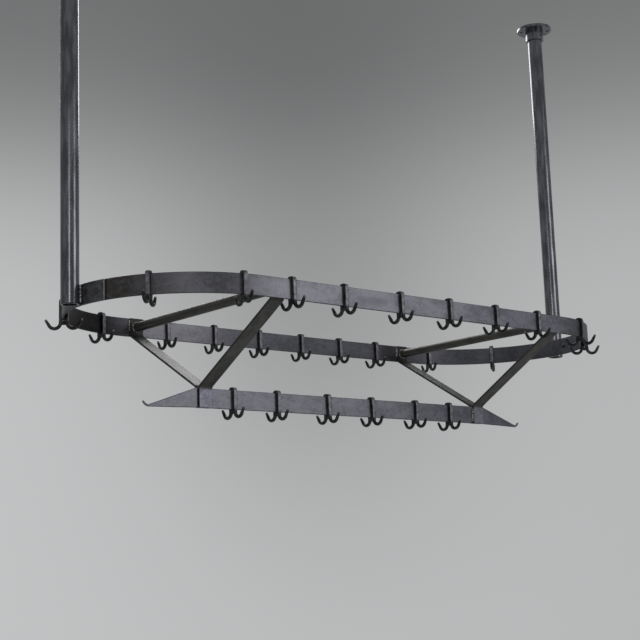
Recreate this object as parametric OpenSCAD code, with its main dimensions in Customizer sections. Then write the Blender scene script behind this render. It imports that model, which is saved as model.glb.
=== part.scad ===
/* [Ring] */
// Length of the ring over its two round ends
ring_len = 1700; // [1500:10:2000]
// Width of the ring across its two straight sides
ring_w = 630; // [560:10:700]
// Height of the flat bar that the ring is bent from
band_h = 50; // [44:1:60]
// Thickness of the ring's flat bar
band_t = 6; // [5:0.5:8]

/* [Hanging tubes] */
// Distance from the ceiling down to the ring's lower edge
drop = 1100; // [800:10:1400]
// Outer diameter of a tube
pole_d = 45; // [38:0.5:50]
// Wall of a tube
pole_wall = 5.5; // [3:0.1:7]

/* [Ceiling flanges] */
// Diameter of the round plate at the ceiling
flange_d = 110; // [104:1:130]
// Thickness of the round plate
flange_t = 8; // [6:0.5:10]
// Wall of the socket round the tube
socket_wall = 5.5; // [5:0.1:7]
// Length of the socket below the plate
socket_len = 34; // [28:1:44]
// Free space between tube and socket
socket_gap = 0.3; // [0.2:0.05:0.5]
// Diameter of the circle that the screw holes lie on
bolt_circle_d = 86; // [80:1:92]
// Diameter of a screw hole
bolt_hole_d = 9; // [7:0.5:10]
// Diameter of a set screw
set_screw_d = 8; // [6:1:10]
// Hexagon socket of a set screw, across flats
set_screw_hex = 4; // [3:0.5:5]

/* [End plates] */
// Angle that an end plate covers on the round end
plate_angle = 34; // [28:1:44]
// Thickness of an end plate
plate_t = 3; // [2.5:0.5:6]
// Angle of a rivet from the middle of the end
rivet_angle = 12.4; // [10:0.2:13]
// Diameter of a rivet's shank
rivet_d = 8; // [6:0.5:10]
// Diameter of a rivet's round head
rivet_head_d = 14; // [12:0.5:18]
// Height of a rivet's round head
rivet_head_h = 3; // [2:0.25:4]

/* [V frames] */
// Distance of each V frame from the centre of the round end beside it
frame_inset = 40; // [35:5:95]
// Diameter of a cross rod
rod_d = 25; // [20:1:30]
// Height of the rod's axis above the ring's lower edge
rod_z = 26; // [22:1:28]
// Width of a brace
brace_w = 40; // [34:1:48]
// Thickness of a brace
brace_t = 6; // [4:0.5:8]
// Radius of a brace's bends along its middle line
brace_bend_r = 12; // [8:1:16]

/* [Lower bar] */
// Distance from the ring's lower edge down to the lower bar's upper edge
low_drop = 176; // [140:2:220]
// Height of the lower bar
low_h = 50; // [44:1:60]
// Thickness of the lower bar
low_t = 6; // [5:0.5:8]
// Length of the taper at each end
taper_len = 138; // [100:2:160]
// Height of the bar where the taper ends
tip_h = 6; // [5:0.5:8]
// How far the taper's end lies below the bar's lower edge
tip_dip = 4; // [0:0.5:8]
// Radius of the upturned tip along its middle line
tip_r = 20; // [14:1:26]
// Angle that the tip turns up through
tip_turn = 56; // [40:1:70]

/* [Hooks] */
// Width of a hook's strap along the bar
hook_w = 12; // [10:0.5:16]
// Thickness of a strap's leg
leg_t = 8.5; // [5:0.25:9]
// Free space between a leg and the bar's face
side_gap = 0.5; // [0.4:0.05:1]
// Free space between the strap and the bar's upper edge
seat_gap = 0.25; // [0.2:0.05:0.3]
// Free space under the bar inside a hook
under_gap = 1; // [0.5:0.25:3]
// Height of the strap's crown above the bar
crown_h = 7.5; // [6.5:0.25:9]
// Radius of the crown's two corners
crown_r = 6.5; // [4:0.25:7]
// Diameter of a prong at its root
prong_d = 8.5; // [7:0.25:10]
// Diameter of a prong at its tip
prong_tip_d = 5.5; // [4:0.25:7]
// Distance from the hook's middle to the lowest place of a prong
prong_reach = 23.4; // [21:0.2:28]
// Depth of that place below the bar
prong_depth = 20.2; // [18:0.2:26]
// Radius of a prong's bowl along its middle line
bowl_r = 15.3; // [13:0.1:17]
// Length of the straight tip of a prong
prong_tip_len = 17.5; // [12:0.5:24]

/* [Hook places] */
// Places of the four inner hooks along the front of the ring
front_x = [-290, -100, 77, 256];
// Distances of the first and the last front hook from the V frames
front_gaps = [40, 67];
// Places of the four inner hooks along the back of the ring
back_x = [-232, -72, 86, 236];
// Distances of the first and the last back hook from the V frames
back_gaps = [103, 109];
// Places of the four inner hooks along the lower bar
lower_x = [-261, -88, 72, 241];
// Distances of the first and the last lower hook from the V frames
lower_gaps = [91, 117];
// Angles of the hooks round the left end, from the front to the back
left_angle = [-101, -142, 143, 103];
// Angles of the hooks round the right end, from the front to the back
right_angle = [-72, -37, 37, 76];

/* [Hidden] */
$fn = 96;

// The ring in plan: round ends of radius ring_r about two centres at x = -end_x and end_x
ring_r = ring_w / 2;
end_x = ring_len / 2 - ring_r;
band_inner_r = ring_r - band_t;
band_mid_r = ring_r - band_t / 2;
plate_r = ring_r + plate_t;

// The V frames stand on the straight sides, and the outer hooks stand off the V frames
frame_x = end_x - frame_inset;
front_places = concat(front_gaps[0] - frame_x, front_x, frame_x - front_gaps[1]);
back_places = concat(back_gaps[0] - frame_x, back_x, frame_x - back_gaps[1]);
lower_places = concat(lower_gaps[0] - frame_x, lower_x, frame_x - lower_gaps[1]);

// The tubes stand against the end plates
pole_x = end_x + plate_r + pole_d / 2;
pole_bore_d = pole_d - 2 * pole_wall;
pole_len = drop - flange_t;

// The socket of a ceiling flange
socket_bore_d = pole_d + 2 * socket_gap;
socket_d = socket_bore_d + 2 * socket_wall;
set_screw_z = flange_t + socket_len * 0.6;
set_screw_gap = 0.15;
set_screw_socket = 3;
bolt_count = 4;

// Rivets
rivet_gap = 0.15;
rivet_z = band_h / 2;
rivet_lift = 0.1;
rivet_dome_r = (pow(rivet_head_d / 2, 2) + pow(rivet_head_h, 2)) / (2 * rivet_head_h);

// Weld beads
weld_r = 5;
weld_margin = 4;
pole_weld_r = 4.5;
pole_weld_y = 15;
rod_weld_r = 4;
pole_weld_depth = sqrt(pow(pole_d / 2, 2) - pow(pole_weld_y, 2));
pole_weld_x = (pole_x - pole_weld_depth + end_x + sqrt(pow(plate_r, 2) - pow(pole_weld_y, 2))) / 2;

// The middle line of a brace: down the band, across to the lower bar and down its face
// The upper bend starts below the weld ring of the cross rod
brace_low_corner = 3;
brace_corner = rod_z - rod_d / 2 - rod_weld_r - 0.65 * brace_bend_r;
brace_y0 = band_inner_r - brace_t / 2;
brace_y1 = low_t / 2 + brace_t / 2;
brace_run = brace_y0 - brace_y1;
brace_fall = low_drop - brace_low_corner + brace_corner;
brace_slope = atan(brace_fall / brace_run);
brace_turn = 90 - brace_slope;
brace_tangent = brace_bend_r * tan(brace_turn / 2);
bend_steps = 8;

// The lower bar
low_top = -low_drop;
low_bottom = low_top - low_h;
low_full_x = frame_x + brace_w / 2 + weld_r;
tip_x = low_full_x + taper_len;
tip_thick = 5.5;

// A hook in its own place: x along the bar, y across it, z = 0 at the bar's upper edge
slot_w = band_t + 2 * side_gap;
strap_d = slot_w + 2 * leg_t;
leg_y = (slot_w + leg_t) / 2;
bowl_angle = 76;
tip_angle = 60;
stem_len = 12;
prong_step = 0.3;

// The lead runs from the foot of a leg down to a place a little past the bowl's start
lead_angle = bowl_angle - 4;
lead_lap = 0.4;
lead_out = prong_reach - bowl_r * sin(lead_angle) - leg_y;
lead_fall = prong_depth - bowl_r + bowl_r * cos(lead_angle) + lead_lap;
lead_len = norm([lead_out, lead_fall]);
lead_lean = atan2(lead_out, lead_fall);

module left_pole() {
    pole(-1);
}

module right_pole() {
    pole(1);
}

module pole(side) {
    color("#3b3b3f")
        translate([side * pole_x, 0, -drop])
            difference() {
                cylinder(h = pole_len, d = pole_d);
                translate([0, 0, -1])
                    cylinder(h = pole_len + 2, d = pole_bore_d);
            }
}

module left_ceiling_flange() {
    ceiling_flange(-1);
}

module right_ceiling_flange() {
    ceiling_flange(1);
}

module ceiling_flange(side) {
    color("#38383b")
        translate([side * pole_x, 0, 0])
            difference() {
                union() {
                    translate([0, 0, -flange_t])
                        cylinder(h = flange_t, d = flange_d);
                    translate([0, 0, -flange_t - socket_len])
                        cylinder(h = socket_len + flange_t / 2, d = socket_d);
                }
                translate([0, 0, -flange_t - socket_len - 1])
                    cylinder(h = socket_len + 1, d = socket_bore_d);
                bolt_holes();
                set_screw_places()
                    translate([0, 0, -1])
                        cylinder(h = socket_wall + 3, d = set_screw_d + 2 * set_screw_gap);
            }
}

module bolt_holes() {
    for (i = [0 : bolt_count - 1])
        rotate([0, 0, 45 + i * 360 / bolt_count])
            translate([bolt_circle_d / 2, 0, -flange_t - 1])
                cylinder(h = flange_t + 2, d = bolt_hole_d);
}

// Places its child at both sides of a socket, pointing outward along y from the tube's face
module set_screw_places() {
    for (dir = [-1, 1])
        translate([0, dir * pole_d / 2, -set_screw_z])
            rotate([-90 * dir, 0, 0])
                children();
}

module left_set_screws() {
    set_screws(-1);
}

module right_set_screws() {
    set_screws(1);
}

module set_screws(side) {
    color("#2a2a2c")
        translate([side * pole_x, 0, 0])
            set_screw_places()
                difference() {
                    cylinder(h = socket_wall + socket_gap, d = set_screw_d);
                    translate([0, 0, socket_wall + socket_gap - set_screw_socket])
                        cylinder(h = set_screw_socket + 1, d = set_screw_hex / cos(30), $fn = 6);
                }
}

module front_band() {
    half_band();
}

module back_band() {
    mirror([0, 1, 0])
        half_band();
}

// The half of the ring on the front side, from the middle of one end to the middle of the other
module half_band() {
    color("#5a5a60")
        translate([0, 0, -drop])
            difference() {
                linear_extrude(height = band_h)
                    half_ring_plan();
                for (side = [-1, 1])
                    rivet_place(side, -1)
                        cylinder(h = 3 * band_t, d = rivet_d + 2 * rivet_gap, center = true);
            }
}

module half_ring_plan() {
    translate([-end_x, -ring_r])
        square([2 * end_x, band_t]);
    for (side = [-1, 1])
        translate([side * end_x, 0])
            intersection() {
                difference() {
                    circle(r = ring_r, $fn = 180);
                    circle(r = band_inner_r, $fn = 180);
                }
                translate([side > 0 ? 0 : -2 * ring_r, -2 * ring_r])
                    square(2 * ring_r);
            }
}

// Puts a child's z axis along a rivet of one end, on the front (-1) or the back (1),
// with its origin at the middle of the band's thickness
module rivet_place(side, back) {
    translate([side * end_x, 0, rivet_z])
        rotate([0, 0, side > 0 ? back * rivet_angle : 180 - back * rivet_angle])
            translate([band_mid_r, 0, 0])
                rotate([0, 90, 0])
                    children();
}

module left_splice_plate() {
    splice_plate(-1);
}

module right_splice_plate() {
    splice_plate(1);
}

module splice_plate(side) {
    color("#303034")
        translate([0, 0, -drop])
            difference() {
                translate([side * end_x, 0, 0])
                    rotate([0, 0, (side > 0 ? 0 : 180) - plate_angle / 2])
                        rotate_extrude(angle = plate_angle, $fn = 180)
                            translate([ring_r, 0])
                                square([plate_t, band_h]);
                for (back = [-1, 1])
                    rivet_place(side, back)
                        cylinder(h = 3 * (plate_t + band_t), d = rivet_d + 2 * rivet_gap, center = true);
            }
}

module left_rivets() {
    rivets(-1);
}

module right_rivets() {
    rivets(1);
}

module rivets(side) {
    color("#2c2c2f")
        translate([0, 0, -drop])
            for (back = [-1, 1])
                rivet_place(side, back)
                    rivet();
}

// A rivet with a dome at both ends
module rivet() {
    outer_z = band_t / 2 + plate_t;
    inner_z = -band_t / 2 - rivet_lift;
    translate([0, 0, inner_z])
        cylinder(h = outer_z - inner_z, d = rivet_d);
    translate([0, 0, outer_z])
        rivet_dome();
    translate([0, 0, inner_z])
        rotate([180, 0, 0])
            rivet_dome();
}

module rivet_dome() {
    intersection() {
        translate([0, 0, rivet_head_h - rivet_dome_r])
            sphere(r = rivet_dome_r);
        cylinder(h = rivet_head_h + 1, d = rivet_head_d);
    }
}

module left_pole_welds() {
    pole_welds(-1);
}

module right_pole_welds() {
    pole_welds(1);
}

// Beads in the two corners between a tube and its end plate
module pole_welds(side) {
    color("#4a4642")
        translate([0, 0, weld_margin - drop])
            difference() {
                for (back = [-1, 1])
                    translate([side * pole_weld_x, back * pole_weld_y, 0])
                        cylinder(h = band_h - 2 * weld_margin, r = pole_weld_r);
                translate([side * pole_x, 0, -1])
                    cylinder(h = band_h, d = pole_d);
                translate([side * end_x, 0, -1])
                    cylinder(h = band_h, r = plate_r, $fn = 180);
            }
}

module left_cross_rod() {
    cross_rod(-1);
}

module right_cross_rod() {
    cross_rod(1);
}

module cross_rod(side) {
    color("#4b443d")
        translate([side * frame_x, 0, rod_z - drop])
            rotate([90, 0, 0])
                cylinder(h = 2 * (band_inner_r - brace_t), d = rod_d, center = true);
}

module left_front_brace() {
    brace(-1, -1);
}

module left_back_brace() {
    brace(-1, 1);
}

module right_front_brace() {
    brace(1, -1);
}

module right_back_brace() {
    brace(1, 1);
}

// One brace: a lap on the band, a bend, a slanted run, a bend and a lap on the lower bar
module brace(side, back) {
    color("#46403a")
        translate([side * frame_x, 0, -drop])
            mirror([0, back > 0 ? 1 : 0, 0])
                rotate([90, 0, 90])
                    translate([0, 0, -brace_w / 2])
                        brace_solid();
}

// The brace with its path in the xy plane and its width along z, on the front side
module brace_solid() {
    upper = [-brace_y0 + brace_bend_r, brace_corner + brace_tangent];
    lower = [-brace_y1 - brace_bend_r, low_top + brace_low_corner - brace_tangent];
    linear_extrude(height = brace_w)
        polygon(concat(
            [[-band_inner_r, band_h]],
            bend_points(upper, brace_bend_r + brace_t / 2, 180, 180 + brace_turn),
            bend_points(lower, brace_bend_r - brace_t / 2, brace_turn, 0),
            [[-low_t / 2 - brace_t, low_bottom], [-low_t / 2, low_bottom]],
            bend_points(lower, brace_bend_r + brace_t / 2, 0, brace_turn),
            bend_points(upper, brace_bend_r - brace_t / 2, 180 + brace_turn, 180),
            [[-band_inner_r + brace_t, band_h]]
        ));
}

// Points round a bend, from one angle to another
function bend_points(centre, radius, from, to) =
    [for (i = [0 : bend_steps])
        let (angle = from + (to - from) * i / bend_steps)
            centre + radius * [cos(angle), sin(angle)]];

module left_brace_welds() {
    brace_welds(-1);
}

module right_brace_welds() {
    brace_welds(1);
}

// Beads along both sides of each lap, and a ring of weld round each end of the cross rod
module brace_welds(side) {
    color("#4a4642")
        translate([side * frame_x, 0, -drop])
            for (back = [-1, 1]) {
                for (edge = [-1, 1]) {
                    corner_bead(edge, back * band_inner_r, -back, weld_margin + brace_corner + brace_tangent,
                        band_h - weld_margin);
                    corner_bead(edge, back * low_t / 2, back, low_bottom + weld_margin,
                        low_top + brace_low_corner - brace_tangent - weld_margin);
                }
                translate([0, back * (band_inner_r - brace_t), rod_z])
                    rotate([back * 90, 0, 0])
                        rod_weld();
            }
}

// A quarter-round bead between a face at the given y and the brace's edge
module corner_bead(edge, face_y, out, z0, z1) {
    translate([edge * brace_w / 2, face_y, z0])
        intersection() {
            cylinder(h = z1 - z0, r = weld_r);
            translate([edge > 0 ? 0 : -weld_r, out > 0 ? 0 : -weld_r, 0])
                cube([weld_r, weld_r, z1 - z0]);
        }
}

module rod_weld() {
    rotate_extrude()
        translate([rod_d / 2, 0])
            intersection() {
                circle(r = rod_weld_r);
                square(rod_weld_r);
            }
}

// The lower bar: full height between the tapers, each taper ending in an upturned tip
module lower_bar() {
    color("#5c5a5c")
        translate([0, low_t / 2, low_bottom - drop])
            rotate([90, 0, 0])
                linear_extrude(height = low_t) {
                    polygon([
                        [-low_full_x, 0], [low_full_x, 0],
                        [tip_x, -tip_dip], [tip_x, tip_h - tip_dip],
                        [low_full_x, low_h], [-low_full_x, low_h],
                        [-tip_x, tip_h - tip_dip], [-tip_x, -tip_dip]
                    ]);
                    for (side = [-1, 1])
                        translate([side * tip_x, tip_r + tip_thick / 2 - tip_dip])
                            upturned_tip(side);
                }
}

// The tip's outline: an arc from the lowest place outward, with a round end
module upturned_tip(side) {
    intersection() {
        difference() {
            circle(r = tip_r + tip_thick / 2);
            circle(r = tip_r - tip_thick / 2);
        }
        polygon([
            [0, 0], [0, -2 * tip_r],
            [side * 2 * tip_r * tan(tip_turn / 2), -2 * tip_r],
            [side * 2 * tip_r * sin(tip_turn), -2 * tip_r * cos(tip_turn)]
        ]);
    }
    translate([side * tip_r * sin(tip_turn), -tip_r * cos(tip_turn)])
        circle(d = tip_thick);
}

// A double hook on a bar of the given height, hung from the bar's upper edge
module pot_hook(bar_h) {
    color("#2b2b2d")
        rotate([90, 0, 90]) {
            translate([0, 0, -hook_w / 2])
                linear_extrude(height = hook_w)
                    strap_outline(bar_h);
            for (dir = [0, 1])
                mirror([dir, 0, 0])
                    prong(bar_h + prong_depth - bowl_r);
        }
}

// The strap from the side: a crown with round corners, two legs and the stem under the bar
module strap_outline(bar_h) {
    difference() {
        union() {
            for (side = [-1, 1])
                translate([side * (strap_d / 2 - crown_r), crown_h - crown_r])
                    circle(r = crown_r);
            translate([crown_r - strap_d / 2, 0])
                square([strap_d - 2 * crown_r, crown_h]);
            translate([-strap_d / 2, -bar_h - stem_len])
                square([strap_d, bar_h + stem_len + crown_h - crown_r]);
        }
        translate([-slot_w / 2, -bar_h - under_gap])
            square([slot_w, bar_h + under_gap + seat_gap]);
    }
}

// One prong: a lead from the leg's foot, a bowl and a tapering tip
module prong(bowl_depth) {
    translate([prong_reach, -bowl_depth, 0]) {
        rotate([0, 0, 270 - bowl_angle])
            rotate_extrude(angle = bowl_angle + tip_angle)
                translate([bowl_r, 0])
                    circle(d = prong_d, $fn = 48);
        translate([-bowl_r * sin(lead_angle), -bowl_r * cos(lead_angle), 0])
            rotate([0, 0, lead_lean])
                rotate([-90, 0, 0])
                    cylinder(h = lead_len, d1 = prong_d - prong_step, d2 = leg_t - prong_step, $fn = 48);
        rotate([0, 0, tip_angle])
            translate([0, -bowl_r, 0]) {
                rotate([0, 90, 0])
                    cylinder(h = prong_tip_len, d1 = prong_d - prong_step, d2 = prong_tip_d, $fn = 48);
                translate([prong_tip_len, 0, 0])
                    sphere(d = prong_tip_d, $fn = 48);
            }
    }
}

module straight_hook(x, y, z, bar_h) {
    translate([x, y, z])
        pot_hook(bar_h);
}

// A hook on a round end, at an angle about the end's centre
module end_hook(side, angle) {
    translate([side * end_x, 0, band_h - drop])
        rotate([0, 0, angle + 90])
            translate([0, -band_mid_r, 0])
                pot_hook(band_h);
}

module front_hook(i) {
    straight_hook(front_places[i], -band_mid_r, band_h - drop, band_h);
}

module back_hook(i) {
    straight_hook(back_places[i], band_mid_r, band_h - drop, band_h);
}

module lower_hook(i) {
    straight_hook(lower_places[i], 0, low_top - drop, low_h);
}

left_pole();
right_pole();
left_ceiling_flange();
right_ceiling_flange();
left_set_screws();
right_set_screws();
front_band();
back_band();
left_splice_plate();
right_splice_plate();
left_rivets();
right_rivets();
left_pole_welds();
right_pole_welds();
left_cross_rod();
right_cross_rod();
left_front_brace();
left_back_brace();
right_front_brace();
right_back_brace();
left_brace_welds();
right_brace_welds();
lower_bar();
front_hook(0);  // front_hook_1
front_hook(1);  // front_hook_2
front_hook(2);  // front_hook_3
front_hook(3);  // front_hook_4
front_hook(4);  // front_hook_5
front_hook(5);  // front_hook_6
back_hook(0);  // back_hook_1
back_hook(1);  // back_hook_2
back_hook(2);  // back_hook_3
back_hook(3);  // back_hook_4
back_hook(4);  // back_hook_5
back_hook(5);  // back_hook_6
lower_hook(0);  // lower_hook_1
lower_hook(1);  // lower_hook_2
lower_hook(2);  // lower_hook_3
lower_hook(3);  // lower_hook_4
lower_hook(4);  // lower_hook_5
lower_hook(5);  // lower_hook_6
end_hook(-1, left_angle[0]);  // left_end_hook_1
end_hook(-1, left_angle[1]);  // left_end_hook_2
end_hook(-1, left_angle[2]);  // left_end_hook_3
end_hook(-1, left_angle[3]);  // left_end_hook_4
end_hook(1, right_angle[0]);  // right_end_hook_1
end_hook(1, right_angle[1]);  // right_end_hook_2
end_hook(1, right_angle[2]);  // right_end_hook_3
end_hook(1, right_angle[3]);  // right_end_hook_4
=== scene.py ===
"""Looks of a hanging pot rack: a ring of forged flat bar, tubes, V frames and loose double hooks.

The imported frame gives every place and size. Each function below works a surface out as whole
arrays, in metres, in the frame's own axes: x along the rack, y from front to back, z up.
"""
import math
from functools import partialmethod

import bpy
import numpy as np
from mathutils import Matrix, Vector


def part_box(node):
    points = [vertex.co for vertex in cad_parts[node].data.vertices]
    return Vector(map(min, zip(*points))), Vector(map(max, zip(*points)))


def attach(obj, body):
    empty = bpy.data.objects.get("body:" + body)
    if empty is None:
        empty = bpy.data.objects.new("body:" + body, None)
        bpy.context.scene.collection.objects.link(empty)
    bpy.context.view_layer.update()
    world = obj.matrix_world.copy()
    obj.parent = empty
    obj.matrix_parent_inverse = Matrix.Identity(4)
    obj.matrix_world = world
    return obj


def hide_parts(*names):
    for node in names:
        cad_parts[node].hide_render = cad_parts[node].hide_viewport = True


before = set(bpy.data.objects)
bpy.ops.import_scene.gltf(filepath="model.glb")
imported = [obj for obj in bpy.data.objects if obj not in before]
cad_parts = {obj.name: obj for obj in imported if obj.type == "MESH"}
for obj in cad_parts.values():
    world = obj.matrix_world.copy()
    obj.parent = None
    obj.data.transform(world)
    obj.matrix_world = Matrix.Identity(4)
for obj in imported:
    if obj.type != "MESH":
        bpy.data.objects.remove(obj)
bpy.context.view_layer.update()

bl_info = {
    "name": "Hanging pot rack",
    "version": (1, 0, 0),
    "blender": (4, 5, 0),
    "location": "3D View > Sidebar > Pot rack",
    "description": "Builds a forged hanging pot rack, its finishes and its studio",
    "category": "Add Mesh",
}


# -------- sizes read from the frame

def corners(node):
    """Lowest and highest corner of a frame node, as arrays."""
    low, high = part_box(node)
    return np.array(low), np.array(high)


MM = 0.001
X_AXIS, Y_AXIS, Z_AXIS = np.eye(3)
ring_low, ring_high = corners("front_band")
brace_low, brace_high = corners("right_front_brace")
plate_low, plate_high = corners("right_splice_plate")
bar_low, bar_high = corners("lower_bar")
rod_low, rod_high = corners("right_cross_rod")
tube_low, tube_high = corners("right_pole")

RING_RADIUS = -ring_low[1]
END_X = ring_high[0] - RING_RADIUS
RING_BOTTOM, RING_TOP = ring_low[2], ring_high[2]
RING_HEIGHT = (RING_BOTTOM + RING_TOP) / 2
BAND_WIDTH = RING_TOP - RING_BOTTOM
BAND_INNER = -brace_low[1]
BAND_THICKNESS = RING_RADIUS - BAND_INNER
BAND_MIDDLE = RING_RADIUS - BAND_THICKNESS / 2
PLATE_RADIUS = plate_high[0] - END_X
PLATE_END = plate_high[1]
PLATE_HALF_ANGLE = math.asin(PLATE_END / PLATE_RADIUS)
FRAME_X = (brace_low[0] + brace_high[0]) / 2
BRACE_WIDTH = brace_high[0] - brace_low[0]
BRACE_GAP = -brace_high[1]
ROD_RADIUS = (rod_high[2] - rod_low[2]) / 2
ROD_HEIGHT = (rod_high[2] + rod_low[2]) / 2
ROD_HALF_LENGTH = rod_high[1]
BRACE_THICKNESS = BAND_INNER - ROD_HALF_LENGTH
BAR_BOTTOM, BAR_TOP = brace_low[2], bar_high[2]
TIP_DIP = BAR_BOTTOM - bar_low[2]
BAR_WIDTH = BAR_TOP - BAR_BOTTOM
BAR_THICKNESS = bar_high[1] - bar_low[1]
TUBE_RADIUS = (tube_high[1] - tube_low[1]) / 2
TUBE_X = (tube_low[0] + tube_high[0]) / 2
TUBE_BOTTOM, TUBE_TOP = tube_low[2], tube_high[2]

HOOK_GAP = 0.65 * MM  # between a hook's strap and the face of its bar
LAP_REACH = 4 * MM  # how far a brace's upper lap goes on below the rod
SIDES = (("right", 1), ("left", -1))
HOOK_ROWS = {"front": 6, "back": 6, "lower": 6, "left_end": 4, "right_end": 4}
HOOKS = [f"{row}_hook_{i + 1}" for row, count in HOOK_ROWS.items() for i in range(count)]


# -------- surfaces as arrays

def at(*axes):
    """Points or directions from their coordinates, arrays or numbers."""
    return np.stack(np.broadcast_arrays(*axes), -1)


def circle(turn):
    """Unit directions: the cosine and the sine of each turn."""
    return at(np.cos(turn), np.sin(turn))


def full_circle(count):
    """Evenly spaced turns round a circle."""
    return np.linspace(0, 2 * math.pi, count, endpoint=False)


def unit(way):
    """Directions brought to the length 1."""
    return way / np.linalg.norm(way, axis=-1, keepdims=True)


def travelled(path):
    """The distance along a path at each of its points."""
    return np.concatenate([[0], np.linalg.norm(np.diff(path, axis=0), axis=1).cumsum()])


def resampled(line, along, places):
    """A line that is known at some distances, at other distances."""
    return at(*(np.interp(places, along, column) for column in line.T))


def rounded(width, height, radius, long_steps, short_steps):
    """Profiles of a rectangle with round corners, one for each entry of the arrays.

    A point is sign * (half size - radius) + radius * unit. The unit turns through a quarter circle
    at a corner and stands still along a side while the sign runs across in cosine steps.
    """
    signs, units = [], []
    arc = np.linspace(0, math.pi / 2, 5)
    for k, corner in enumerate(((1, 1), (-1, 1), (-1, -1), (1, -1))):
        steps = long_steps if k % 2 else short_steps
        along = np.eye(2)[k % 2] * (1 - np.cos(np.linspace(0, math.pi, steps + 1))[1:-1, None])
        units += [circle(arc + k * math.pi / 2), circle(np.full(steps - 1, (k + 1) * math.pi / 2))]
        signs += [np.tile(corner, (len(arc), 1)), np.array(corner) * (1 - along)]
    half = at(*np.atleast_1d(width, height))[:, None] / 2
    radius = np.minimum(np.reshape(radius, (-1, 1, 1)), half.min(-1, keepdims=True) * 0.999)
    return np.concatenate(signs) * (half - radius) + radius * np.concatenate(units)


def superellipse(width, height, power, count):
    """Profiles |2x/width|^p + |2y/height|^p = 1: from a rectangle to an ellipse as p falls to 2."""
    wave = circle(full_circle(count))
    shaped = np.sign(wave) * np.abs(wave) ** (2 / np.asarray(power)[:, None, None])
    return shaped * at(width, height)[:, None] / 2


def round_profile(radius, count):
    """Profiles of a round bar, one for each radius."""
    return circle(full_circle(count)) * radius[:, None, None]


def stations(length, ease, step):
    """Distances along a bar: close together over its rounded ends, even between them."""
    start = ease * (1 - np.cos(np.linspace(0, math.pi / 2, 5)))
    middle = np.linspace(ease, length - ease, max(2, round(length / step)))[1:-1]
    return np.concatenate([start, middle, length - start[::-1]])


def eased(profile, along, ease):
    """Draws a bar's profile in at its ends, on a quarter circle of the radius ease."""
    left = np.clip(np.minimum(along, along[-1] - along), 0, ease)
    inset = ease - np.sqrt(np.maximum(ease**2 - (ease - left) ** 2, 0))
    half = np.abs(profile).max(1, keepdims=True)
    return profile * (1 - inset[:, None, None] / half)


def rim(profile, axis):
    """How near a bar's skin is to an edge across an axis: 1 there and 0 a rim's width away."""
    along = np.abs(profile[..., axis])
    near = 1 - np.clip((along.max(1, keepdims=True) - along) / sizes().rim, 0, 1)
    return np.concatenate([near.ravel(), [1.0, 1.0]])


def sweep(path, side, up, profile):
    """Rings of a profile carried along a path: path + profile x * side + profile y * up."""
    side, up = np.broadcast_to(side, path.shape), np.broadcast_to(up, path.shape)
    return path[:, None] + side[:, None] * profile[..., 0:1] + up[:, None] * profile[..., 1:2]


def flat_bar(path, side, up, along, size, steps, axis):
    """The rings and the rim of a flat bar: a rounded profile of one size swept along a path."""
    edge = sizes().edge
    profile = rounded(*size, edge, *steps)
    profile = eased(np.repeat(profile, len(along), 0), along, edge)
    return sweep(path, side, up, profile), rim(profile, axis)


def wave_field(points, size, seed):
    """A smooth field from -1 to 1: the mean of twelve plane waves in seeded directions."""
    rng = np.random.default_rng(seed)
    ways = unit(rng.normal(size=(12, 3))) * (2 * math.pi / size) * rng.uniform(0.5, 1.5, (12, 1))
    value = np.sin(points @ ways.T + rng.uniform(0, 2 * math.pi, 12)).mean(-1) * 2.4
    return np.clip(value, -1, 1)


def worn(rings, depth, size, seed, closed=False):
    """Sinks rings inward by up to depth, along the normal that their grid gives."""
    if closed:
        along = np.roll(rings, -1, 0) - np.roll(rings, 1, 0)
    else:
        along = np.gradient(rings, axis=0)
    across = np.roll(rings, -1, 1) - np.roll(rings, 1, 1)
    normal = np.cross(across, along)
    normal /= np.linalg.norm(normal, axis=-1, keepdims=True) + 1e-12
    facing = (normal * (rings - rings.mean(1, keepdims=True))).sum(-1).mean()
    dent = depth * (0.5 + 0.5 * wave_field(rings, size, seed))
    return rings - np.sign(facing) * normal * dent[..., None]


def outward(points, quads, fans):
    """Turns a solid's faces over if its signed volume, the sum of a . (b x c) / 6, is below 0."""
    faces = np.concatenate([quads[:, :3], quads[:, [0, 2, 3]], fans])
    a, b, c = points[faces[:, 0]], points[faces[:, 1]], points[faces[:, 2]]
    if (a * np.cross(b, c)).sum() < 0:
        return points, quads[:, ::-1], fans[:, ::-1]
    return points, quads, fans


NO_FANS = np.zeros((0, 3), int)


def skin(rings):
    """A closed solid: four-sided faces between rings and a fan at each end."""
    n, m = rings.shape[:2]
    index = np.arange(n * m).reshape(n, m)
    beside = np.roll(index, -1, 1)
    quads = np.stack([index[:-1], index[1:], beside[1:], beside[:-1]], -1).reshape(-1, 4)
    first = np.stack([np.full(m, n * m), index[0], beside[0]], -1)
    last = np.stack([np.full(m, n * m + 1), beside[-1], index[-1]], -1)
    points = np.concatenate([rings.reshape(-1, 3), rings[[0, -1]].mean(1)])
    return outward(points, quads, np.concatenate([first, last]))


def loop_skin(rings):
    """A closed solid whose rings run round and meet, as on a tube's wall."""
    index = np.arange(rings[..., 0].size).reshape(rings.shape[:2])
    below, beside = np.roll(index, -1, 0), np.roll(index, -1, 1)
    quads = np.stack([index, below, np.roll(below, -1, 1), beside], -1).reshape(-1, 4)
    return outward(rings.reshape(-1, 3), quads, NO_FANS)


def worn_skin(rings, way, depth, size, seed):
    """A worn bar, mirrored along the axes where way is -1."""
    return skin(worn(rings * way, depth, size, seed))


def joined(*solids):
    """Several solids as one set of points and faces."""
    starts = np.cumsum([0] + [len(s[0]) for s in solids])
    faces = (np.concatenate([s[k] + a for s, a in zip(solids, starts)]) for k in (1, 2))
    return np.concatenate([s[0] for s in solids]), *faces


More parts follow.
